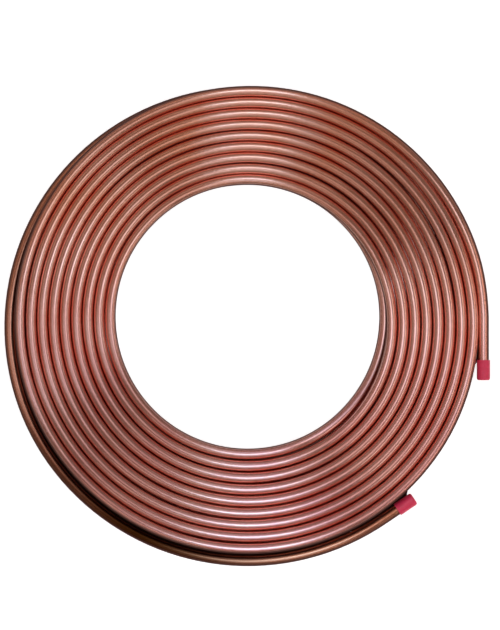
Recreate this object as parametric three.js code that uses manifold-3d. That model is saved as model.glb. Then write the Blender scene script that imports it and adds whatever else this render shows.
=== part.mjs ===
// A flat coil of soft copper tube, two layers deep, with a soft cap pushed on each end of the tube.
// It lies on its lower layer. The tube starts at the lower cap and runs clockwise all the way, seen from
// above: inwards through the lower layer, up to the upper layer at the bore, and outwards to the upper cap.
// The coil is one turned solid with its bore: a ring that the turns stand out of on both ends.
import * as THREE from "three";
import { mergeVertices } from "three/addons/utils/BufferGeometryUtils.js";
import Module from "manifold-3d";

const wasm = await Module();
wasm.setup();

// Driving dimensions, in millimetres. Angles are in degrees, counterclockwise from +X about the bore's axis.
const TUBE_DIAMETER = 9.525;
const TUBE_WALL = 0.76;
const BORE_DIAMETER = 232.7;
const LAYER_GAP = 0.3;
const COIL_AXIS = new THREE.Vector2(0, 8.3);

// The tube climbs from the lower layer to the upper one between these two angles, against the bore.
const CLIMB_FROM = -5;
const CLIMB_TO = -75;

// Outwards from the climb the upper layer runs clockwise (-1) and the lower one counterclockwise (1).
// A layer's turns keep their radius for part of each turn, and step out by one pitch between two angles; each
// step starts stepDrift degrees sooner than the one before it. turnGap is the mean gap between turns; towards
// looseAt it is wider by slack, and opposite narrower by it. The winding ends at lastAngle after its whole
// turns, and over its last shiftAngle degrees its radius also changes by lastShift.
const UPPER_LAYER = {
  outwards: -1,
  turnGap: 0.515,
  slack: 0.4,
  looseAt: 275,
  stepFrom: 75,
  stepTo: -60,
  stepDrift: 5.2,
  wholeTurns: 8,
  lastAngle: 0,
  lastShift: -0.95,
  shiftAngle: 15,
};
const LOWER_LAYER = {
  outwards: 1,
  turnGap: 0.43,
  slack: 0.28,
  looseAt: 263,
  stepFrom: 90,
  stepTo: 220,
  stepDrift: 0,
  wholeTurns: 8,
  lastAngle: 304,
  lastShift: 2.8,
  shiftAngle: 246,
};

// Past its last angle each end of the tube is straight.
const UPPER_TAIL = 54.6;
const LOWER_TAIL = 30.6;

const CAP_WALL = 1.14;
const CAP_LENGTH = 17.9;
const CAP_END_THICKNESS = 1.3;
const CAP_END_ROUNDING = 1.1;
const CAP_CLEARANCE = 0.25;
const CAP_SIDES = 24;

// Over the last stretch of its layer the lower tail lifts, so that its wider cap is just off the floor, and
// the upper one, with no turn under it, sags.
const LIFT_ANGLE = 25;
const CAP_FLOOR_GAP = 0.1;
const SAG_ANGLE = 40;
const SAG = 2.5;

const SECTION_SIDES = 8;
const STEPS_PER_TURN = 45;

// The ring between the layers stops this far short of the turns' widest points, so the grooves run deep.
const GROOVE_SETBACK = 1.5;

const COPPER = new THREE.MeshStandardMaterial({ color: "#c98a72", roughness: 0.25, metalness: 1 });
const CAP_RED = new THREE.MeshStandardMaterial({ color: "#b2354f", roughness: 0.45, metalness: 0 });

const tubeRadius = TUBE_DIAMETER / 2;
const capRadius = tubeRadius + CAP_WALL;
const lowerHeight = tubeRadius;
const upperHeight = lowerHeight + TUBE_DIAMETER + LAYER_GAP;
const climbMiddle = (CLIMB_FROM + CLIMB_TO) / 2;
const firstRadius = BORE_DIAMETER / 2 + tubeRadius;
const radians = THREE.MathUtils.degToRad;

// The degrees wound outwards from the climb when the tube first reaches an angle.
function woundTo(layer, angle) {
  return THREE.MathUtils.euclideanModulo(layer.outwards * (angle - climbMiddle), 360);
}

// How many pitches the tube has stepped out after a number of degrees wound outwards from the climb.
function pitchesOut(layer, wound) {
  const firstStart = woundTo(layer, layer.stepFrom);
  const firstEnd = firstStart + Math.abs(layer.stepTo - layer.stepFrom);
  let pitches = 0;
  for (let step = 0; step <= layer.wholeTurns; step += 1) {
    const start = firstStart + (360 - layer.stepDrift) * step;
    pitches += THREE.MathUtils.smoothstep(wound, start, firstEnd + 360 * step);
  }
  return pitches;
}

function pitchAt(layer, angle) {
  return TUBE_DIAMETER + layer.turnGap + layer.slack * Math.cos(radians(angle - layer.looseAt));
}

function radiusAt(layer, wound) {
  const angle = climbMiddle + layer.outwards * wound;
  const shift = layer.lastShift * intoLast(wound, lastWound(layer), layer.shiftAngle);
  return firstRadius + pitchesOut(layer, wound) * pitchAt(layer, angle) + shift;
}

// From 0 to 1 over the last stretch before a layer's last degree wound.
function intoLast(wound, last, stretch) {
  return THREE.MathUtils.smoothstep(wound, last - stretch, last);
}

function lastWound(layer) {
  return woundTo(layer, layer.lastAngle) + 360 * layer.wholeTurns;
}

const lowerWound = lastWound(LOWER_LAYER);
const upperWound = lastWound(UPPER_LAYER);

// The centre line's point after a signed number of degrees from the climb: lower layer below 0, upper above.
function windingPoint(wound) {
  const radius = radiusAt(wound < 0 ? LOWER_LAYER : UPPER_LAYER, Math.abs(wound));
  const angle = radians(climbMiddle - wound);
  const climb = THREE.MathUtils.smoothstep(wound, climbMiddle - CLIMB_FROM, climbMiddle - CLIMB_TO);
  const lift = (CAP_WALL + CAP_FLOOR_GAP) * intoLast(-wound, lowerWound, LIFT_ANGLE);
  const sag = SAG * intoLast(wound, upperWound, SAG_ANGLE);
  const height = THREE.MathUtils.lerp(lowerHeight, upperHeight, climb) + lift - sag;
  return new THREE.Vector3(radius * Math.cos(angle), radius * Math.sin(angle), height);
}

// The tube's centre line from the lower end to the upper end, as points joined by straight steps. The steps
// start at the same angles in every turn, so that neighbouring turns run parallel.
class TubeCentreLine extends THREE.Curve {
  constructor() {
    super();
    const stepAngle = 360 / STEPS_PER_TURN;
    const startAngle = climbMiddle + lowerWound;
    const endAngle = climbMiddle - upperWound;
    const lowerBend = windingPoint(-lowerWound);
    const upperBend = windingPoint(upperWound);
    const lowerEnd = lowerBend.clone().addScaledVector(leavingDirection(LOWER_LAYER), LOWER_TAIL);
    const upperEnd = upperBend.clone().addScaledVector(leavingDirection(UPPER_LAYER), UPPER_TAIL);
    this.points = [lowerEnd, lowerBend];
    for (let step = Math.ceil(startAngle / stepAngle) - 1; step * stepAngle > endAngle; step -= 1) {
      this.points.push(windingPoint(climbMiddle - step * stepAngle));
    }
    this.points.push(upperBend, upperEnd);
    this.steps = this.points.length - 1;
  }

  getPoint(share, target = new THREE.Vector3()) {
    const step = Math.min(Math.floor(share * this.steps), this.steps - 1);
    return target.lerpVectors(this.points[step], this.points[step + 1], share * this.steps - step);
  }

  getPointAt(share, target) {
    return this.getPoint(share, target);
  }

  // Which way the tube runs along one of its steps; past either end, along the step there.
  stepDirection(step) {
    const inRange = THREE.MathUtils.clamp(step, 0, this.steps - 1);
    return direction(this.points[inRange], this.points[inRange + 1]);
  }

  // The section stays upright: one axis level, the other as near to vertical as the climb allows.
  computeFrenetFrames() {
    const frames = { tangents: [], normals: [], binormals: [] };
    for (let joint = 0; joint <= this.steps; joint += 1) {
      const tangent = this.stepDirection(joint - 1).add(this.stepDirection(joint)).normalize();
      const level = new THREE.Vector3(tangent.y, -tangent.x, 0).normalize();
      frames.tangents.push(tangent);
      frames.normals.push(level);
      frames.binormals.push(new THREE.Vector3().crossVectors(tangent, level));
    }
    return frames;
  }
}

function direction(from, to) {
  return new THREE.Vector3().subVectors(to, from).normalize();
}

// The level direction in which a layer's tail leaves the winding, square to the radius at its last angle.
function leavingDirection(layer) {
  const angle = radians(layer.lastAngle);
  return new THREE.Vector3(-Math.sin(angle), Math.cos(angle), 0).multiplyScalar(layer.outwards);
}

// A regular section with flats below, above and at both sides, the given distance from flat to flat.
function flatSidedSection(across) {
  const cornerRadius = across / 2 / Math.cos(Math.PI / SECTION_SIDES);
  const corners = [];
  for (let i = 0; i < SECTION_SIDES; i += 1) {
    const angle = ((i + 0.5) / SECTION_SIDES) * 2 * Math.PI;
    corners.push(new THREE.Vector2(cornerRadius * Math.cos(angle), cornerRadius * Math.sin(angle)));
  }
  return new THREE.Shape(corners);
}

function solidOf(geometry) {
  const bare = new THREE.BufferGeometry();
  bare.setAttribute("position", geometry.getAttribute("position"));
  bare.setIndex(geometry.index);
  const merged = mergeVertices(bare, 1e-4);
  return new wasm.Manifold(
    new wasm.Mesh({
      numProp: 3,
      vertProperties: merged.attributes.position.array,
      triVerts: new Uint32Array(merged.index.array),
    }),
  );
}

function meshOf(name, solid, material) {
  const { vertProperties, triVerts } = solid.getMesh();
  const geometry = new THREE.BufferGeometry();
  geometry.setAttribute("position", new THREE.BufferAttribute(vertProperties, 3));
  geometry.setIndex(new THREE.BufferAttribute(triVerts, 1));
  const mesh = new THREE.Mesh(geometry, material);
  mesh.name = name;
  return mesh;
}

function woundTube(centreLine) {
  return new THREE.ExtrudeGeometry(flatSidedSection(TUBE_DIAMETER), {
    steps: centreLine.steps,
    extrudePath: centreLine,
    bevelEnabled: false,
  });
}

// The ring's bore lies under the second turn's centre and its rim under the outermost whole turn's.
function turnedRing() {
  const tightestAngle = UPPER_LAYER.looseAt - 180;
  const inner = firstRadius + pitchAt(UPPER_LAYER, tightestAngle);
  const outer = firstRadius + UPPER_LAYER.wholeTurns * pitchAt(UPPER_LAYER, tightestAngle);
  const bottom = lowerHeight + GROOVE_SETBACK;
  const top = upperHeight - GROOVE_SETBACK;
  const profile = [
    new THREE.Vector2(inner, bottom),
    new THREE.Vector2(outer, bottom),
    new THREE.Vector2(outer, top),
    new THREE.Vector2(inner, top),
    new THREE.Vector2(inner, bottom),
  ];
  return new THREE.LatheGeometry(profile, STEPS_PER_TURN).rotateX(Math.PI / 2).rotateZ(Math.PI / 2);
}

// The hollow of one straight tail, open at the tube's end.
function tailBore(end, bend) {
  const length = end.distanceTo(bend);
  const bore = new THREE.ExtrudeGeometry(flatSidedSection(TUBE_DIAMETER - 2 * TUBE_WALL), {
    depth: length + TUBE_WALL,
    bevelEnabled: false,
  }).translate(0, 0, -length);
  return bore.applyMatrix4(frameAlong(bend, end));
}

// A cap along +Z, its mouth at 0 and its closed end rounded, with the hollow that the tube's end stands in.
function endCap(name) {
  const outer = new THREE.Path();
  outer.moveTo(0, 0);
  outer.lineTo(capRadius, 0);
  outer.lineTo(capRadius, CAP_LENGTH - CAP_END_ROUNDING);
  outer.absarc(
    capRadius - CAP_END_ROUNDING,
    CAP_LENGTH - CAP_END_ROUNDING,
    CAP_END_ROUNDING,
    0,
    Math.PI / 2,
  );
  outer.lineTo(0, CAP_LENGTH);
  const body = new THREE.LatheGeometry(outer.getPoints(3), CAP_SIDES).rotateX(Math.PI / 2);
  const hollow = new THREE.ExtrudeGeometry(flatSidedSection(TUBE_DIAMETER + 2 * CAP_CLEARANCE), {
    depth: CAP_LENGTH - CAP_END_THICKNESS + CAP_CLEARANCE,
    bevelEnabled: false,
  }).translate(0, 0, -CAP_CLEARANCE);
  return meshOf(name, solidOf(body).subtract(solidOf(hollow)), CAP_RED);
}

// The frame at a tail's end: +Z out of the tube along the tail, and +X level.
function frameAlong(bend, end) {
  const outwards = direction(bend, end);
  const level = new THREE.Vector3(-outwards.y, outwards.x, 0).normalize();
  const upright = new THREE.Vector3().crossVectors(outwards, level);
  return new THREE.Matrix4().makeBasis(level, upright, outwards).setPosition(end);
}

// Pushes a cap over the tube's end, as far as its closed end allows.
function placeCap(cap, bend, end) {
  cap.applyMatrix4(frameAlong(bend, end));
  cap.translateZ(CAP_CLEARANCE + CAP_END_THICKNESS - CAP_LENGTH);
  return cap;
}

const centreLine = new TubeCentreLine();
const [lowerEnd, lowerBend] = centreLine.points;
const [upperBend, upperEnd] = centreLine.points.slice(-2);
const coil = solidOf(turnedRing())
  .add(solidOf(woundTube(centreLine)))
  .subtract(solidOf(tailBore(lowerEnd, lowerBend)))
  .subtract(solidOf(tailBore(upperEnd, upperBend)));

const tubeCoil = new THREE.Group();
tubeCoil.position.set(COIL_AXIS.x, COIL_AXIS.y, 0);
tubeCoil.add(
  meshOf("copper_tube", coil, COPPER),
  placeCap(endCap("lower_end_cap"), lowerBend, lowerEnd),
  placeCap(endCap("upper_end_cap"), upperBend, upperEnd),
);

export default tubeCoil;
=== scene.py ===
"""A flat coil of soft copper tube, two layers deep, with a red cap on each end.

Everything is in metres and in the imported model's own frame: +Z is up, the floor is at
zero, and the coil's axis stands a little off the origin. The tube is one piece, and
each cap is one piece.
"""

import math
from collections import namedtuple
from itertools import accumulate

import bpy
import numpy as np
from bpy.props import FloatProperty, FloatVectorProperty, IntProperty, PointerProperty
from mathutils import Matrix, Vector


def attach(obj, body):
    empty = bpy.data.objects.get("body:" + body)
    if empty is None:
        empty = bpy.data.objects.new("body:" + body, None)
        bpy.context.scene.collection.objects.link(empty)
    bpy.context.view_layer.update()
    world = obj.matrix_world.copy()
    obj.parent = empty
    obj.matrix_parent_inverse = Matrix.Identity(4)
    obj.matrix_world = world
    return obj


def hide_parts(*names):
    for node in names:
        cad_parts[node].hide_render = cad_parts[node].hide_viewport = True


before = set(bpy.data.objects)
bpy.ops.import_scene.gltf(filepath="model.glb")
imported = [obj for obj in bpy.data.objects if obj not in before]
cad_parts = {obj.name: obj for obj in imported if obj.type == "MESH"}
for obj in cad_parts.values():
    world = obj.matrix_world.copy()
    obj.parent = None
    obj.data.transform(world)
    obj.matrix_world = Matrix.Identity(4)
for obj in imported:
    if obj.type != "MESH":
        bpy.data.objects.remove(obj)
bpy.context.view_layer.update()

bl_info = {
    "name": "Copper Tube Coil",
    "version": (1, 0, 0),
    "blender": (4, 5, 0),
    "location": "3D View > Sidebar > Tube Coil",
    "description": "Winds a two-layer coil of copper tube, caps its ends and lights it",
    "category": "Object",
}

MM = 0.001
TUBE_UV = "along_and_round"
COIL_AXIS = Vector((0, 8.3 * MM, 0))

# Edges that turn less than this many degrees are shaded smooth, and points closer than
# this are merged.
SMOOTH_ANGLE = 40
MERGE_DISTANCE = 0.001 * MM

# The tube climbs from the lower layer to the upper one between these two plan angles,
# in degrees.
CLIMB_FROM = -5
CLIMB_TO = -75
CLIMB_MIDDLE = (CLIMB_FROM + CLIMB_TO) / 2

# Over these angles at their outer ends the lower layer lifts, so that the wider cap is
# just off the floor, and the upper one, with no turn under it, sags.
LIFT_ANGLE = 25
CAP_FLOOR_GAP = 0.1 * MM
SAG_ANGLE = 40
SAG = 2.5 * MM

# How a layer is wound, outwards from the climb: 1 is counterclockwise and -1 clockwise,
# seen from above. Its turns keep their radius for part of each turn and step out by one
# pitch between two angles; each step starts step_drift degrees sooner than the one
# before it. turn_gap is the mean gap between turns, wider by slack towards loose_at and
# narrower opposite. The winding ends at last_angle after its whole turns, and over its
# last shift_angle degrees its radius also changes by last_shift.
Layer = namedtuple(
    "Layer",
    "outwards turn_gap slack loose_at step_from step_to step_drift whole_turns "
    "last_angle last_shift shift_angle",
)
UPPER_LAYER = Layer(
    outwards=-1,
    turn_gap=0.515 * MM,
    slack=0.4 * MM,
    loose_at=275,
    step_from=75,
    step_to=-60,
    step_drift=5.2,
    whole_turns=8,
    last_angle=0,
    last_shift=-0.95 * MM,
    shift_angle=15,
)
LOWER_LAYER = Layer(
    outwards=1,
    turn_gap=0.43 * MM,
    slack=0.28 * MM,
    loose_at=263,
    step_from=90,
    step_to=220,
    step_drift=0,
    whole_turns=8,
    last_angle=304,
    last_shift=2.8 * MM,
    shift_angle=246,
)

# The floor that the turns and the tube's ends shade is what these discs cover outside
# the bore: each disc's middle and radius. The last three lie in the corners between an
# end and the coil.
SHADED_FROM = 118 * MM
SHADED_DISCS = (
    (Vector((-3 * MM, 2.3 * MM, 0)), 207 * MM),
    (Vector((88 * MM, -138 * MM, 0)), 44 * MM),
    (Vector((111 * MM, -141 * MM, 0)), 31 * MM),
    (Vector((177.5 * MM, -16 * MM, 0)), 30 * MM),
)

# Lengths along the tube: the outermost turn of each layer, the innermost ones to each
# side of the climb, and how soon the painted dark rim on each one's open side fades.
OUTER_TURN = 1.285
OUTER_FADE = 40 * MM
INNER_TURN = 0.78
INNER_FADE = 100 * MM

# The lower layer's end painted with brown shade, how soon it fades, how far along it
# is darkest and how far that reaches.
SHADED_END = 0.8
SHADED_END_FADE = 0.2
DARKEST_AT = 0.26
DARKEST_REACH = 0.2

# Where each part of the finish begins and where it is full, as a share of the way round
# the tube from its crown. The flanks are the same on both sides; of the others, plus is
# towards the bore.
FLANK_BAND = (0.08, 0.2)
SIDE_BANDS = {
    "gap_side": (0.09, 0.15),
    "inner_side": (0.08, 0.13),
    "outer_side": (-0.12, -0.18),
}

# The film lies in clouds of this size, from its thinnest to its thickest, where 1 hides
# the metal.
CLOUD_SIZE = 62.5 * MM
THINNEST_FILM = 0.08
THICKEST_FILM = 0.52

# The drawing die's lines are about 0.1 mm wide. They are drawn 1 mm wide, which is as
# fine as shows, and hold up to this much more film.
LINE_WIDTH = 1 * MM
LINE_LENGTH = 62.5 * MM
LINE_FILM = 0.2

# How far along the tube the painted dark red shade in the grooves comes and goes.
GROOVE_SHADE_LENGTH = 1000 * MM / 3

# Dipping leaves waves about 3 mm long in the caps' skin.
WAVE_LENGTH = 2.857 * MM

# The film's tint is a painted reflection tint that changes across the coil: the level
# direction towards its golden side, and how far off the middle it is golden or mauve all
# over.
TINT_WAY = Vector((0.05, 1, 0))
TINT_REACH = 0.16

# Past its last angle each end of the tube is straight for this far.
UPPER_TAIL = 54.6 * MM
LOWER_TAIL = 30.6 * MM

# The lamps hang about the coil's axis: each one's distance from it and plan angle, its
# length towards the axis and its width across that, and how bright its face is, where 1
# is white. Then how wide its light spreads, how far it leans outwards and its colour.
# Lengths are in metres and angles in degrees. A narrow spread keeps a lamp off the
# turns across the bore, and makes it brighter along its own axis.
Lamp = namedtuple(
    "Lamp", "name distance angle length width brightness spread lean colour"
)
LAMPS = (
    Lamp("right_panel", 1.2, -18, 0.6, 1.6, 1.7, 180, 0, "#fff2ea"),
    Lamp("back_panel", 0.9, 90, 0.3, 1.2, 0.8, 180, 0, "#ffe4d6"),
    Lamp("left_panel", 0.9, 165, 0.3, 1.4, 0.8, 180, 0, "#ffe4d6"),
    Lamp("front_panel", 0.9, -100, 0.3, 1.2, 1.2, 180, 0, "#ffe4d6"),
    Lamp("back_lamp", 0.5, 86, 0.6, 0.16, 0.38, 80, 0, "#cfe6ff"),
    Lamp("back_core", 0.44, 90, 0.26, 0.16, 0.62, 66, 0, "#c8e4ff"),
    Lamp("right_lamp", 0.4, -7, 0.66, 0.18, 0.28, 80, 0, "#cfe6ff"),
    Lamp("right_core", 0.2, 2, 0.28, 0.1, 0.12, 50, 0, "#c8e4ff"),
    Lamp("front_lamp", 0.6, 275, 0.6, 0.2, 0.52, 80, 0, "#c0e4ff"),
    Lamp("front_core", 0.32, 270, 0.34, 0.16, 0.46, 54, 0, "#b8e4ff"),
    Lamp("corner_lamp", 0.3, 312, 0.5, 0.24, 0.12, 80, 0, "#f8e8e0"),
    Lamp("left_lamp", 0.5, 190, 0.36, 0.24, 0.36, 80, 0, "#cfe6ff"),
    Lamp("left_core", -0.1, 160, 0.4, 0.11, 0.16, 50, 20, "#c8e4ff"),
    Lamp("middle_lamp", 0.05, 250, 0.44, 0.44, 0.42, 180, 0, "#ffd8c4"),
)
LAMP_STEP = 2 * MM
FLOOR_SIZE = 60

# The view's middle is over this point, and its long side covers this much at the upper
# layer. The sensor is in millimetres, as the lens is.
VIEW_MIDDLE = Vector((2.1 * MM, 9.75 * MM, 14.6 * MM))
VIEW_HEIGHT = 555.7 * MM
SENSOR = 36

# The sockets of a colour Mix node, which share their names with those of its other
# kinds.
MIX_SHARE, MIX_UNDER, MIX_OVER, MIXED = 0, 6, 7, 2


def linear_colour(hex_colour):
    """The linear colour and full alpha that a socket takes, from an sRGB hex value."""
    channels = [int(hex_colour[i : i + 2], 16) / 255 for i in (1, 3, 5)]
    linear = [
        c / 12.92 if c <= 0.04045 else ((c + 0.055) / 1.055) ** 2.4 for c in channels
    ]
    return (*linear, 1.0)


def add_node(tree, kind, inputs=None, **settings):
    """Adds a node with its settings, and gives its inputs values or other outputs."""
    node = tree.nodes.new(kind)
    for name, value in settings.items():
        setattr(node, name, value)
    for socket, value in (inputs or {}).items():
        if isinstance(value, bpy.types.NodeSocket):
            tree.links.new(value, node.inputs[socket])
        else:
            node.inputs[socket].default_value = value
    return node


def new_material(name):
    """An empty node material, and its node tree."""
    material = bpy.data.materials.new(name)
    material.use_nodes = True
    material.node_tree.nodes.clear()
    return material, material.node_tree


def deselect_all():
    """Leaves edit mode, and deselects every object."""
    if bpy.context.object and bpy.context.object.mode != "OBJECT":
        bpy.ops.object.mode_set(mode="OBJECT")
    bpy.ops.object.select_all(action="DESELECT")


# --------------------------------------------------------------------------------------
# The winding
# --------------------------------------------------------------------------------------


def smoothstep(value, start, end):
    """From 0 at the start to 1 at the end, level at both."""
    share = min(max((value - start) / (end - start), 0), 1)
    return share * share * (3 - 2 * share)


def wound_to(layer, angle):
    """Degrees wound outwards from the climb when the tube first gets to an angle."""
    return layer.outwards * (angle - CLIMB_MIDDLE) % 360


def last_wound(layer):
    """The degrees wound from the climb to the end of a layer's winding."""
    return wound_to(layer, layer.last_angle) + 360 * layer.whole_turns


def into_last(wound, layer, stretch):
    """From 0 to 1 over the last stretch before a layer's last degree wound."""
    return smoothstep(wound, last_wound(layer) - stretch, last_wound(layer))


def pitches_out(layer, wound):
    """How many pitches the tube has stepped out after that many degrees."""
    first_start = wound_to(layer, layer.step_from)
    first_end = first_start + abs(layer.step_to - layer.step_from)
    return sum(
        smoothstep(
            wound,
            first_start + (360 - layer.step_drift) * step,
            first_end + 360 * step,
        )
        for step in range(layer.whole_turns + 1)
    )


def pitch_at(tube, layer, angle):
    """The pitch of a layer's turns at an angle: a tube and the gap beside it."""
    loose = math.cos(math.radians(angle - layer.loose_at))
    return tube.diameter + layer.turn_gap + layer.slack * loose


def radius_at(tube, layer, wound):
    """The centre line's distance from the coil's axis after that many degrees."""
    angle = CLIMB_MIDDLE + layer.outwards * wound
    first_radius = (tube.bore_diameter + tube.diameter) / 2
    stepped_out = pitches_out(layer, wound) * pitch_at(tube, layer, angle)
    shift = layer.last_shift * into_last(wound, layer, layer.shift_angle)
    return first_radius + stepped_out + shift


def winding_point(tube, cap_wall, wound):
    """The centre line's point this many degrees past the climb.

    They are below 0 before the climb, on the lower layer.
    """
    layer = LOWER_LAYER if wound < 0 else UPPER_LAYER
    radius = radius_at(tube, layer, abs(wound))
    angle = math.radians(CLIMB_MIDDLE - wound)
    climb = smoothstep(wound, CLIMB_MIDDLE - CLIMB_FROM, CLIMB_MIDDLE - CLIMB_TO)
    lift = (cap_wall + CAP_FLOOR_GAP) * into_last(-wound, LOWER_LAYER, LIFT_ANGLE)
    sag = SAG * into_last(wound, UPPER_LAYER, SAG_ANGLE)
    climbed = climb * (tube.diameter + tube.layer_gap)
    height = tube.diameter / 2 + climbed + lift - sag
    return COIL_AXIS + Vector(
        (radius * math.cos(angle), radius * math.sin(angle), height)
    )


def leaving_direction(layer):
    """The level direction of a layer's tail, square to the radius where it leaves."""
    angle = math.radians(layer.last_angle)
    return layer.outwards * Vector((-math.sin(angle), math.cos(angle), 0))


def tube_ends(tube, cap_wall):
    """The tube's lower end, then its upper: the last point and the way it points."""
    ends = []
    tails = ((LOWER_LAYER, -1, LOWER_TAIL), (UPPER_LAYER, 1, UPPER_TAIL))
    for layer, side, tail in tails:
        bend = winding_point(tube, cap_wall, side * last_wound(layer))
        way = leaving_direction(layer)
        ends.append((bend + tail * way, way))
    return ends


def centre_line(tube, cap_wall, points_per_turn):
    """The tube's centre line from the lower end to the upper end, as points."""
    start, end = -last_wound(LOWER_LAYER), last_wound(UPPER_LAYER)
    count = math.ceil((end - start) / 360 * points_per_turn)
    points = [
        winding_point(tube, cap_wall, start + (end - start) * i / count)
        for i in range(count + 1)
    ]
    (lower_end, _), (upper_end, _) = tube_ends(tube, cap_wall)
    return [lower_end, *points, upper_end]


def climb_share():
    """The share of the whole winding, in degrees, that comes before the climb."""
    return last_wound(LOWER_LAYER) / (last_wound(LOWER_LAYER) + last_wound(UPPER_LAYER))


# --------------------------------------------------------------------------------------
# Sizes and colours
# --------------------------------------------------------------------------------------


class COIL_PG_tube(bpy.types.PropertyGroup):
    """Sizes of the tube and of its winding."""

    diameter: FloatProperty(
        name="Tube diameter",
        description="Outside diameter of the tube",
        default=9.525 * MM,
        unit="LENGTH",
    )
    wall: FloatProperty(
        name="Tube wall",
        description="Thickness of the tube's wall",
        default=0.76 * MM,
        unit="LENGTH",
    )
    bore_diameter: FloatProperty(
        name="Bore",
        description="Clear diameter inside the innermost turn",
        default=232.7 * MM,
        unit="LENGTH",
    )
    layer_gap: FloatProperty(
        name="Layer gap",
        description="Gap between the lower layer and the upper one",
        default=0.3 * MM,
        unit="LENGTH",
    )
    points_per_turn: IntProperty(
        name="Points per turn",
        description="Points of the centre line in each turn",
        default=144,
    )
    quarter_steps: IntProperty(
        name="Roundness",
        description="Steps in each quarter of the tube's section",
        default=6,
    )


class COIL_PG_caps(bpy.types.PropertyGroup):
    """Sizes of the end caps."""

    wall: FloatProperty(
        name="Cap wall",
        description="How far the cap stands proud of the tube",
        default=1.14 * MM,
        unit="LENGTH",
    )
    length: FloatProperty(
        name="Cap length",
        description="Length from the mouth to the closed end",
        default=17.9 * MM,
        unit="LENGTH",
    )
    end_thickness: FloatProperty(
        name="End thickness",
        description="Thickness of the closed end",
        default=1.3 * MM,
        unit="LENGTH",
    )
    clearance: FloatProperty(
        name="Clearance",
        description="Gap between the tube's end and the cap's closed end",
        default=0.25 * MM,
        unit="LENGTH",
    )
    stretch: FloatProperty(
        name="Stretch",
        description="Gap between the tube and the cap's wall",
        default=0.05 * MM,
        unit="LENGTH",
    )
    end_rounding: FloatProperty(
        name="End rounding",
        description="Radius of the closed end's edge",
        default=1.9 * MM,
        unit="LENGTH",
    )
    mouth_rounding: FloatProperty(
        name="Mouth rounding",
        description="Radius of the mouth's edges",
        default=0.25 * MM,
        unit="LENGTH",
    )
    sides: IntProperty(
        name="Sides", description="Sides of the cap's round section", default=64
    )


class COIL_PG_finish(bpy.types.PropertyGroup):
    """Colours of the copper and of the caps."""

    copper: FloatVectorProperty(
        name="Copper",
        description="Clean drawn copper",
        subtype="COLOR",
        size=4,
        default=linear_colour("#d0a89c"),
    )
    # Painted reflection: the flanks are brighter and redder than the crown, as the turns
    # beside them would show in the metal.
    flank: FloatVectorProperty(
        name="Flank",
        description="Copper on the flanks, between the turns",
        subtype="COLOR",
        size=4,
        default=linear_colour("#f4b4a2"),
    )
    # Painted reflection too, reddest in clouds.
    red_flank: FloatVectorProperty(
        name="Red flank",
        description="Copper where the flanks are reddest",
        subtype="COLOR",
        size=4,
        default=linear_colour("#f09a82"),
    )
    # Painted shade: the dark red of a deep groove, put on stretches of a flank.
    painted_groove_shade: FloatVectorProperty(
        name="Gap film",
        description="Dark red film on a flank that stood off the next turn",
        subtype="COLOR",
        size=4,
        default=linear_colour("#843a2e"),
    )
    # The golden and mauve film colours are one oxide film under a painted reflection
    # tint, golden on one side of the coil and mauve on the other.
    golden_film_and_reflection: FloatVectorProperty(
        name="Golden film",
        description="Copper under a thin film of oxide",
        subtype="COLOR",
        size=4,
        default=linear_colour("#c87e4c"),
    )
    # Film colour under the painted reflection tint, on the mauve side of the coil.
    mauve_film_and_reflection: FloatVectorProperty(
        name="Mauve film",
        description="Copper under a thicker film of oxide",
        subtype="COLOR",
        size=4,
        default=linear_colour("#bc7c88"),
    )
    # Painted dark reflection: a dark rim on the coil's outer and inner sides.
    painted_dark_rim: FloatVectorProperty(
        name="Side film",
        description="Copper under the thick film on the coil's outer and inner sides",
        subtype="COLOR",
        size=4,
        default=linear_colour("#5c3e38"),
    )
    # Painted shade: brown on the lower layer's end.
    painted_end_shade: FloatVectorProperty(
        name="Brown film",
        description="Copper under the film on the lower layer's end",
        subtype="COLOR",
        size=4,
        default=linear_colour("#b47e66"),
    )
    # Painted shade, where the lower layer's end is darkest.
    painted_darkest_shade: FloatVectorProperty(
        name="Dark film",
        description="Copper where that film is thickest",
        subtype="COLOR",
        size=4,
        default=linear_colour("#44260f"),
    )
    cap: FloatVectorProperty(
        name="Cap",
        description="Red vinyl of the end caps",
        subtype="COLOR",
        size=4,
        default=linear_colour("#f03c66"),
    )


class COIL_PG_studio(bpy.types.PropertyGroup):
    """The light, the floor and the camera."""

    sky: FloatProperty(
        name="Room light",
        description="Strength of the even light from all round",
        default=0.26,
    )
    lamp_height: FloatProperty(
        name="Lamp height",
        description="Height of the lamps above the floor",
        default=0.9,
        unit="LENGTH",
    )
    floor_glow: FloatProperty(
        name="Floor glow",
        description="How much of the floor's white comes from the floor itself",
        default=0.8,
    )
    lens: FloatProperty(
        name="Lens", description="Focal length in millimetres", default=300
    )


# --------------------------------------------------------------------------------------
# Materials
# --------------------------------------------------------------------------------------


def film_share(tree, skin, clouds):
    """How much film lies on the copper, in clouds and in the drawing die's lines."""
    line_scale = add_node(
        tree,
        "ShaderNodeVectorMath",
        {0: skin, 1: (1 / LINE_LENGTH, 1 / LINE_WIDTH, 1)},
        operation="MULTIPLY",
    )
    lines = add_node(
        tree,
        "ShaderNodeTexNoise",
        {"Vector": line_scale.outputs[0], "Scale": 1, "Detail": 2, "Roughness": 0.5},
    )
    clouded = add_node(
        tree,
        "ShaderNodeMapRange",
        {
            "Value": clouds,
            "From Min": 0.35,
            "From Max": 0.75,
            "To Min": THINNEST_FILM,
            "To Max": THICKEST_FILM,
        },
    )
    lined = add_node(
        tree,
        "ShaderNodeMath",
        {0: lines.outputs[0], 1: LINE_FILM, 2: clouded.outputs[0]},
        operation="MULTIPLY_ADD",
    )
    return lined.outputs[0]


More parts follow.
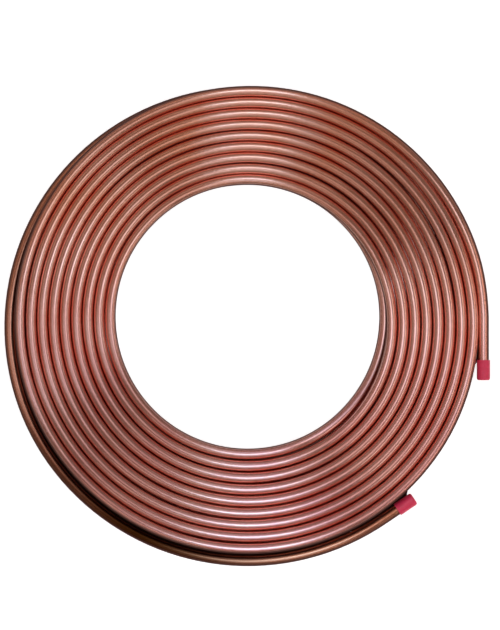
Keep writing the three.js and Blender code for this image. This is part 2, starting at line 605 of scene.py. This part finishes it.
def painted_tint_share(tree, where):
    """How golden the painted reflection tint is, from one side of the coil to the other.
    """
    golden_way = add_node(
        tree, "ShaderNodeVectorMath", {0: where, 1: TINT_WAY}, operation="DOT_PRODUCT"
    )
    golden = add_node(
        tree,
        "ShaderNodeMapRange",
        {
            "Value": golden_way.outputs["Value"],
            "From Min": -TINT_REACH,
            "From Max": TINT_REACH,
        },
        interpolation_type="SMOOTHSTEP",
    )
    return golden.outputs[0]


def groove_shade_share(tree, skin):
    """Where along the tube the flank's painted dark red groove shade lies."""
    stretches = add_node(
        tree,
        "ShaderNodeVectorMath",
        {0: skin, 1: (1 / GROOVE_SHADE_LENGTH, 0, 0)},
        operation="MULTIPLY",
    )
    groove_noise = add_node(
        tree,
        "ShaderNodeTexNoise",
        {"Vector": stretches.outputs[0], "Scale": 1, "Detail": 1, "Roughness": 0.4},
    )
    groove_shade_map = add_node(
        tree,
        "ShaderNodeMapRange",
        {"Value": groove_noise.outputs[0], "From Min": 0.52, "From Max": 0.62, "To Max": 0.9},
        interpolation_type="SMOOTHSTEP",
    )
    return groove_shade_map.outputs[0]


def place_shares(tree, skin, length, climb_at, girth):
    """Where each part of the finish lies, by name: from 0 off it to 1 on it."""
    split = add_node(tree, "ShaderNodeSeparateXYZ", {0: skin})
    along, round_it = split.outputs["X"], split.outputs["Y"]
    distances = {}
    for name, value, middle in (
        ("crown", round_it, girth / 2),
        ("darkest", along, DARKEST_AT),
        ("mid_length", along, length / 2),
        ("climb", along, climb_at),
    ):
        past = add_node(
            tree, "ShaderNodeMath", {0: value, 1: middle}, operation="SUBTRACT"
        )
        distance = add_node(
            tree, "ShaderNodeMath", {0: past.outputs[0]}, operation="ABSOLUTE"
        )
        distances[name] = distance.outputs[0]

    covered_to = length / 2 - OUTER_TURN - OUTER_FADE / 2
    flank_from, flank_to = FLANK_BAND
    edges = [
        ("flank", distances["crown"], girth * flank_from, girth * flank_to),
        ("end_shade", along, SHADED_END + SHADED_END_FADE, SHADED_END),
        ("darkest", distances["darkest"], DARKEST_REACH, 0),
        ("outer_turn", distances["mid_length"], covered_to, covered_to + OUTER_FADE),
        ("inner_turn", distances["climb"], INNER_TURN, INNER_TURN - INNER_FADE),
    ]
    for name, (start, full) in SIDE_BANDS.items():
        edges.append((name, round_it, girth * (0.5 + start), girth * (0.5 + full)))
    shares = {}
    for name, value, start, full in edges:
        share = add_node(
            tree,
            "ShaderNodeMapRange",
            {"Value": value, "From Min": start, "From Max": full},
            interpolation_type="SMOOTHSTEP",
        )
        shares[name] = share.outputs[0]
    return shares


def drawn_copper(finish, length, climb_at, girth):
    """Soft copper tube, drawn and annealed: bright metal under a thin brown film.

    The drawing die's fine lines make a highlight narrow along the tube and wide across
    it. The film turns the metal golden or mauve, under a painted reflection tint that
    goes from golden on one side of the coil to mauve on the other. The flanks are
    painted brighter and redder, as painted reflection, with painted dark red groove
    shade; the lower layer's end has painted brown shade and the coil's outer and inner
    sides a painted dark rim.
    """
    material, tree = new_material("drawn_copper")
    skin = add_node(tree, "ShaderNodeUVMap", uv_map=TUBE_UV).outputs["UV"]
    where = add_node(tree, "ShaderNodeTexCoord").outputs["Object"]
    clouds = add_node(
        tree,
        "ShaderNodeTexNoise",
        {"Vector": where, "Scale": 1 / CLOUD_SIZE, "Detail": 4, "Roughness": 0.55},
    )
    film = film_share(tree, skin, clouds.outputs[0])
    shares = place_shares(tree, skin, length, climb_at, girth)
    # Painted dark red groove shade, on stretches of one flank.
    gap = add_node(
        tree,
        "ShaderNodeMath",
        {0: groove_shade_share(tree, skin), 1: shares["gap_side"]},
        operation="MULTIPLY",
    )
    painted_outer_rim = add_node(
        tree,
        "ShaderNodeMath",
        {0: shares["outer_turn"], 1: shares["outer_side"]},
        operation="MULTIPLY",
    )
    painted_rim_share = add_node(
        tree,
        "ShaderNodeMath",
        {0: shares["inner_turn"], 1: shares["inner_side"], 2: painted_outer_rim.outputs[0]},
        operation="MULTIPLY_ADD",
    )
    red_share = add_node(
        tree,
        "ShaderNodeMapRange",
        {"Value": clouds.outputs[0], "From Min": 0.44, "From Max": 0.62},
    )

    # Three of the tints change from place to place.
    tints = {}
    for name, share, under, over in (
        ("film", painted_tint_share(tree, where), finish.mauve_film_and_reflection, finish.golden_film_and_reflection),
        ("flank", red_share.outputs[0], finish.flank, finish.red_flank),
        ("end", shares["darkest"], finish.painted_end_shade, finish.painted_darkest_shade),
    ):
        tint = add_node(
            tree,
            "ShaderNodeMix",
            {MIX_SHARE: share, MIX_UNDER: under, MIX_OVER: over},
            data_type="RGBA",
        )
        tints[name] = tint.outputs[MIXED]

    # The flanks are painted brighter and redder than the crown, as painted reflection of
    # the turns beside them, and stretches of them get painted dark red shade, as in a
    # deep groove. The lower layer's end has painted brown shade, and the open sides of
    # the outermost and innermost turns a painted dark rim, as painted dark reflection.
    colour = finish.copper
    for share, tint in (
        (film, tints["film"]),
        (shares["flank"], tints["flank"]),
        (gap.outputs[0], finish.painted_groove_shade),
        (shares["end_shade"], tints["end"]),
        (painted_rim_share.outputs[0], finish.painted_dark_rim),
    ):
        tinted = add_node(
            tree,
            "ShaderNodeMix",
            {MIX_SHARE: share, MIX_UNDER: colour, MIX_OVER: tint},
            data_type="RGBA",
        )
        colour = tinted.outputs[MIXED]

    roughness = add_node(
        tree,
        "ShaderNodeMapRange",
        {
            "Value": film,
            "From Min": 0.0,
            "From Max": 0.7,
            "To Min": 0.17,
            "To Max": 0.23,
        },
    )
    # On the painted dark rim the metal is mostly matt, so it reflects little.
    rim_metallic = add_node(
        tree,
        "ShaderNodeMapRange",
        {"Value": painted_rim_share.outputs[0], "To Min": 1.0, "To Max": 0.15},
    )
    along = add_node(
        tree, "ShaderNodeTangent", direction_type="UV_MAP", uv_map=TUBE_UV
    )
    copper = add_node(
        tree,
        "ShaderNodeBsdfPrincipled",
        {
            "Base Color": colour,
            "Metallic": rim_metallic.outputs[0],
            "Specular IOR Level": 0.0,
            "Roughness": roughness.outputs[0],
            "Anisotropic": 0.9,
            "Anisotropic Rotation": 0.25,
            "Tangent": along.outputs[0],
        },
    )
    add_node(tree, "ShaderNodeOutputMaterial", {"Surface": copper.outputs[0]})
    return material


def dipped_vinyl(finish):
    """Dip-moulded soft vinyl: a satin skin of one colour, with faint waves in it."""
    material, tree = new_material("dipped_vinyl")
    where = add_node(tree, "ShaderNodeTexCoord")
    unevenness = add_node(
        tree,
        "ShaderNodeTexNoise",
        {"Vector": where.outputs["Object"], "Scale": 1 / WAVE_LENGTH, "Detail": 2},
    )
    shade = add_node(
        tree,
        "ShaderNodeMapRange",
        {
            "Value": unevenness.outputs[0],
            "From Min": 0.3,
            "From Max": 0.7,
            "To Min": 0.94,
            "To Max": 1.04,
        },
    )
    colour = add_node(
        tree,
        "ShaderNodeMix",
        {MIX_SHARE: 1.0, MIX_UNDER: finish.cap, MIX_OVER: shade.outputs[0]},
        data_type="RGBA",
        blend_type="MULTIPLY",
    )
    ripple = add_node(
        tree,
        "ShaderNodeBump",
        {"Strength": 0.15, "Distance": 0.2 * MM, "Height": unevenness.outputs[0]},
    )
    vinyl = add_node(
        tree,
        "ShaderNodeBsdfPrincipled",
        {
            "Base Color": colour.outputs[MIXED],
            "Roughness": 0.42,
            "IOR": 1.53,
            "Normal": ripple.outputs[0],
        },
    )
    add_node(tree, "ShaderNodeOutputMaterial", {"Surface": vinyl.outputs[0]})
    return material


def white_floor(glow):
    """Matt white paper, with a glow that shows, also in the metal, and lights nothing.

    The glow makes up what the lamps leave short of white. In the full shade under the
    turns there is none, and the paper there is painted dark brown, as painted shadow.
    """
    material, tree = new_material("white_paper")
    where = add_node(tree, "ShaderNodeTexCoord")
    from_axis = add_node(
        tree,
        "ShaderNodeVectorMath",
        {0: where.outputs["Object"], 1: COIL_AXIS},
        operation="DISTANCE",
    )
    outside_bore = add_node(
        tree,
        "ShaderNodeMath",
        {0: from_axis.outputs["Value"], 1: SHADED_FROM},
        operation="GREATER_THAN",
    )
    in_discs = 0.0
    for middle, radius in SHADED_DISCS:
        from_middle = add_node(
            tree,
            "ShaderNodeVectorMath",
            {0: where.outputs["Object"], 1: middle},
            operation="DISTANCE",
        )
        in_disc = add_node(
            tree,
            "ShaderNodeMath",
            {0: from_middle.outputs["Value"], 1: radius},
            operation="LESS_THAN",
        )
        either = add_node(
            tree,
            "ShaderNodeMath",
            {0: in_disc.outputs[0], 1: in_discs},
            operation="MAXIMUM",
        )
        in_discs = either.outputs[0]
    covered = add_node(
        tree,
        "ShaderNodeMath",
        {0: outside_bore.outputs[0], 1: in_discs},
        operation="MULTIPLY",
    )
    open_share = add_node(
        tree, "ShaderNodeMath", {0: 1.0, 1: covered.outputs[0]}, operation="SUBTRACT"
    )
    open_glow = add_node(
        tree,
        "ShaderNodeMath",
        {0: open_share.outputs[0], 1: glow},
        operation="MULTIPLY",
    )
    ray = add_node(tree, "ShaderNodeLightPath")
    seen = add_node(
        tree,
        "ShaderNodeMath",
        {0: ray.outputs["Is Camera Ray"], 1: ray.outputs["Is Glossy Ray"]},
        operation="MAXIMUM",
    )
    seen_through = add_node(
        tree,
        "ShaderNodeMath",
        {0: seen.outputs[0], 1: ray.outputs["Is Transmission Ray"]},
        operation="MAXIMUM",
    )
    strength = add_node(
        tree,
        "ShaderNodeMath",
        {0: seen_through.outputs[0], 1: open_glow.outputs[0]},
        operation="MULTIPLY",
    )
    # Painted shadow: dark brown paper under the turns and in the corners by the ends.
    shade = add_node(
        tree,
        "ShaderNodeMix",
        {
            MIX_SHARE: covered.outputs[0],
            MIX_UNDER: linear_colour("#f0f0f0"),
            MIX_OVER: linear_colour("#38241c"),
        },
        data_type="RGBA",
    )
    paper = add_node(
        tree,
        "ShaderNodeBsdfPrincipled",
        {
            "Base Color": shade.outputs[MIXED],
            "Roughness": 0.9,
            "Specular IOR Level": 0.0,
            "Emission Color": linear_colour("#ffffff"),
            "Emission Strength": strength.outputs[0],
        },
    )
    add_node(tree, "ShaderNodeOutputMaterial", {"Surface": paper.outputs[0]})
    return material


# --------------------------------------------------------------------------------------
# Pieces
# --------------------------------------------------------------------------------------


def lengths_along(points):
    """How far along a line through points each point lies."""
    steps = ((end - start).length for start, end in zip(points, points[1:]))
    return list(accumulate(steps, initial=0))


def map_skin(mesh, points, diameter):
    """Lays out the tube's UV map in metres: along it, and round from its underside."""
    skin = mesh.uv_layers[0]
    skin.name = TUBE_UV
    places = np.empty(len(skin.data) * 2, np.float32)
    skin.data.foreach_get("uv", places)
    # Every face has four corners, and each corner two places.
    faces = places.reshape(-1, 4, 2)
    steps = len(points) - 1
    lengths = np.array(lengths_along(points))
    along = lengths[np.rint(faces[:, :, 0] * steps).astype(int)]
    middle = faces[:, :, 1].mean(1, keepdims=True)
    # At the underside the curve's own map has come this far round.
    underside = 0.75
    round_it = (middle - underside) % 1 + faces[:, :, 1] - middle
    skin.data.foreach_set(
        "uv",
        np.stack((along, round_it * math.pi * diameter), 2).astype(np.float32).ravel(),
    )


def draw_line(name, points):
    """Adds a curve of straight steps through points, and makes it the active object."""
    deselect_all()
    bpy.ops.curve.primitive_nurbs_path_add()
    route = bpy.context.object
    route.name = route.data.name = name
    route.data.splines.clear()
    line = route.data.splines.new("POLY")
    line.points.add(len(points) - 1)
    line.points.foreach_set("co", [c for p in points for c in (*p, 1)])
    return route


def face_outwards():
    """Turns every face of the active object outwards."""
    bpy.ops.object.mode_set(mode="EDIT")
    bpy.ops.mesh.select_all(action="SELECT")
    bpy.ops.mesh.normals_make_consistent(inside=False)
    bpy.ops.object.mode_set(mode="OBJECT")


def bore_end(tube, ring, end, way, sizes, depth):
    """Turns an open end, a ring of vertices, into the tube's wall, and bores it out."""
    bpy.ops.object.mode_set(mode="EDIT")
    bpy.ops.mesh.select_mode(type="VERT")
    bpy.ops.mesh.select_all(action="DESELECT")
    bpy.ops.object.mode_set(mode="OBJECT")
    for index in ring:
        tube.data.vertices[index].select = True
    bpy.ops.object.mode_set(mode="EDIT")
    bpy.ops.mesh.extrude_region_move()
    inner_share = 1 - 2 * sizes.wall / sizes.diameter
    bpy.ops.transform.resize(value=[inner_share] * 3, center_override=end)
    bpy.ops.mesh.extrude_region_move(TRANSFORM_OT_translate={"value": -depth * way})
    bpy.ops.mesh.edge_face_add()
    bpy.ops.object.mode_set(mode="OBJECT")


def arc(middle, radius, from_angle, to_angle, steps=6):
    """Points (x, z) on an arc about a middle, at even angles."""
    angles = np.radians(np.linspace(from_angle, to_angle, steps + 1))
    return [
        (middle[0] + radius * math.cos(a), middle[1] + radius * math.sin(a))
        for a in angles
    ]


def turn_solid(name, profile, sides):
    """Turns a profile of (x, z) points about Z, and makes the solid the active one."""
    solid = draw_line(name, [(x, 0, z) for x, z in profile])
    bpy.ops.object.convert(target="MESH")
    solid = bpy.context.object
    bpy.ops.object.modifier_add(type="SCREW")
    screw = solid.modifiers[-1]
    screw.steps = screw.render_steps = sides
    screw.use_merge_vertices = True
    screw.merge_threshold = MERGE_DISTANCE
    bpy.ops.object.modifier_apply(modifier=screw.name)
    face_outwards()
    return solid


def finish_piece(piece, material, node):
    """Gives a piece its material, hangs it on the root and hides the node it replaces."""
    bpy.ops.object.shade_smooth_by_angle(angle=math.radians(SMOOTH_ANGLE))
    piece.data.materials.clear()
    piece.data.materials.append(material)
    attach(piece, "root")
    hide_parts(node)


class COIL_OT_wind_tube(bpy.types.Operator):
    """Winds the copper tube along its centre line and bores its two ends"""

    bl_idname = "tube_coil.wind_tube"
    bl_label = "Wind the copper tube"

    def execute(self, context):
        sizes = context.scene.coil_tube
        cap_wall = context.scene.coil_caps.wall
        points = centre_line(sizes, cap_wall, sizes.points_per_turn)
        coil = draw_line("tube_coil", points)
        route = coil.data
        route.twist_mode = "Z_UP"
        route.bevel_depth = sizes.diameter / 2
        route.bevel_resolution = 2 * (sizes.quarter_steps - 1)
        route.use_fill_caps = False
        bpy.ops.object.convert(target="MESH")
        coil = context.object
        map_skin(coil.data, points, sizes.diameter)

        sides = 4 * sizes.quarter_steps
        last = len(coil.data.vertices)
        rings = (range(sides), range(last - sides, last))
        ends = tube_ends(sizes, cap_wall)
        for ring, (end, way), tail in zip(rings, ends, (LOWER_TAIL, UPPER_TAIL)):
            bore_end(coil, ring, end, way, sizes, tail + sizes.wall)
        face_outwards()

        along = lengths_along(points)
        climb_at = along[round(len(along) * climb_share())]
        copper = drawn_copper(
            context.scene.coil_finish, along[-1], climb_at, math.pi * sizes.diameter
        )
        finish_piece(coil, copper, "copper_tube")
        return {"FINISHED"}


class COIL_OT_push_on_caps(bpy.types.Operator):
    """Turns a cap for each end of the tube and pushes it on"""

    bl_idname = "tube_coil.push_on_caps"
    bl_label = "Push on the end caps"

    def execute(self, context):
        tube = context.scene.coil_tube
        caps = context.scene.coil_caps
        inner = tube.diameter / 2 + caps.stretch
        outer = tube.diameter / 2 + caps.wall
        length = caps.length
        inside = length - caps.end_thickness
        lip = caps.mouth_rounding
        corner = caps.end_rounding
        profile = [
            (0, inside),
            (inner, inside),
            *arc((inner + lip, lip), lip, 180, 270, 3),
            *arc((outer - lip, lip), lip, 270, 360, 3),
            *arc((outer - corner, length - corner), corner, 0, 90),
            (0, length),
        ]
        vinyl = dipped_vinyl(context.scene.coil_finish)
        for name, (end, way) in zip(("lower", "upper"), tube_ends(tube, caps.wall)):
            cap = turn_solid(f"{name}_cap", profile, caps.sides)
            mouth = end + (caps.clearance - inside) * way
            turn = way.to_track_quat("Z", "Y")
            cap.matrix_world = Matrix.LocRotScale(mouth, turn, None)
            bpy.ops.object.transform_apply(location=True, rotation=True, scale=True)
            finish_piece(cap, vinyl, f"{name}_end_cap")
        return {"FINISHED"}


# --------------------------------------------------------------------------------------
# The stage
# --------------------------------------------------------------------------------------


def hang_lamps(height):
    """Hangs each lamp a little lower than the one before, so that no two are level."""
    for lamp in LAMPS:
        height -= LAMP_STEP
        angle = math.radians(lamp.angle)
        away = Vector((math.cos(angle), math.sin(angle), 0))
        bpy.ops.object.light_add(
            type="AREA",
            location=COIL_AXIS + lamp.distance * away + Vector((0, 0, height)),
            rotation=(0, -math.radians(lamp.lean), angle),
        )
        light = bpy.context.object
        light.name = light.data.name = lamp.name
        light.data.shape = "RECTANGLE"
        light.data.size = lamp.length
        light.data.size_y = lamp.width
        light.data.spread = math.radians(lamp.spread)
        # A face that gives pi watts to the square metre is as bright as white.
        light.data.energy = math.pi * lamp.length * lamp.width * lamp.brightness
        light.data.color = linear_colour(lamp.colour)[:3]
        light.visible_camera = False


def light_room(strength):
    """Lights the scene evenly from all round."""
    world = bpy.data.worlds.new("room")
    bpy.context.scene.world = world
    world.use_nodes = True
    world.node_tree.nodes.clear()
    sky = add_node(
        world.node_tree,
        "ShaderNodeBackground",
        {"Color": linear_colour("#ffdccc"), "Strength": strength},
    )
    add_node(world.node_tree, "ShaderNodeOutputWorld", {"Surface": sky.outputs[0]})


def set_camera(lens):
    """Sets the camera over the coil, looking straight down."""
    distance = VIEW_HEIGHT * lens / SENSOR
    bpy.ops.object.camera_add(
        location=VIEW_MIDDLE + Vector((0, 0, distance)), rotation=(0, 0, 0)
    )
    camera = bpy.context.object
    camera.name = camera.data.name = "camera"
    camera.data.lens = lens
    camera.data.sensor_width = SENSOR
    bpy.context.scene.camera = camera


class COIL_OT_light_stage(bpy.types.Operator):
    """Lays the floor, hangs the lamps and sets the camera above the coil"""

    bl_idname = "tube_coil.light_stage"
    bl_label = "Light the stage"

    def execute(self, context):
        studio = context.scene.coil_studio
        deselect_all()
        bpy.ops.mesh.primitive_plane_add(size=FLOOR_SIZE)
        floor = context.object
        floor.name = floor.data.name = "floor"
        floor.data.materials.append(white_floor(studio.floor_glow))
        hang_lamps(studio.lamp_height)
        light_room(studio.sky)
        set_camera(studio.lens)
        context.scene.view_settings.view_transform = "Standard"
        return {"FINISHED"}


# --------------------------------------------------------------------------------------
# The add-on
# --------------------------------------------------------------------------------------

OPERATORS = (COIL_OT_wind_tube, COIL_OT_push_on_caps, COIL_OT_light_stage)


class COIL_PT_steps(bpy.types.Panel):
    """The steps that build the coil and its stage"""

    bl_label = "Tube Coil"
    bl_space_type = "VIEW_3D"
    bl_region_type = "UI"
    bl_category = "Tube Coil"

    def draw(self, context):
        for operator in OPERATORS:
            self.layout.operator(operator.bl_idname)


GROUPS = (COIL_PG_tube, COIL_PG_caps, COIL_PG_finish, COIL_PG_studio)
CLASSES = (*GROUPS, *OPERATORS, COIL_PT_steps)


def register():
    for cls in CLASSES:
        bpy.utils.register_class(cls)
    scene = bpy.types.Scene
    scene.coil_tube = PointerProperty(type=COIL_PG_tube)
    scene.coil_caps = PointerProperty(type=COIL_PG_caps)
    scene.coil_finish = PointerProperty(type=COIL_PG_finish)
    scene.coil_studio = PointerProperty(type=COIL_PG_studio)


def unregister():
    for name in ("coil_studio", "coil_finish", "coil_caps", "coil_tube"):
        delattr(bpy.types.Scene, name)
    for cls in reversed(CLASSES):
        bpy.utils.unregister_class(cls)


def main():
    register()
    bpy.ops.tube_coil.wind_tube()
    bpy.ops.tube_coil.push_on_caps()
    bpy.ops.tube_coil.light_stage()


if __name__ == "__main__":
    main()
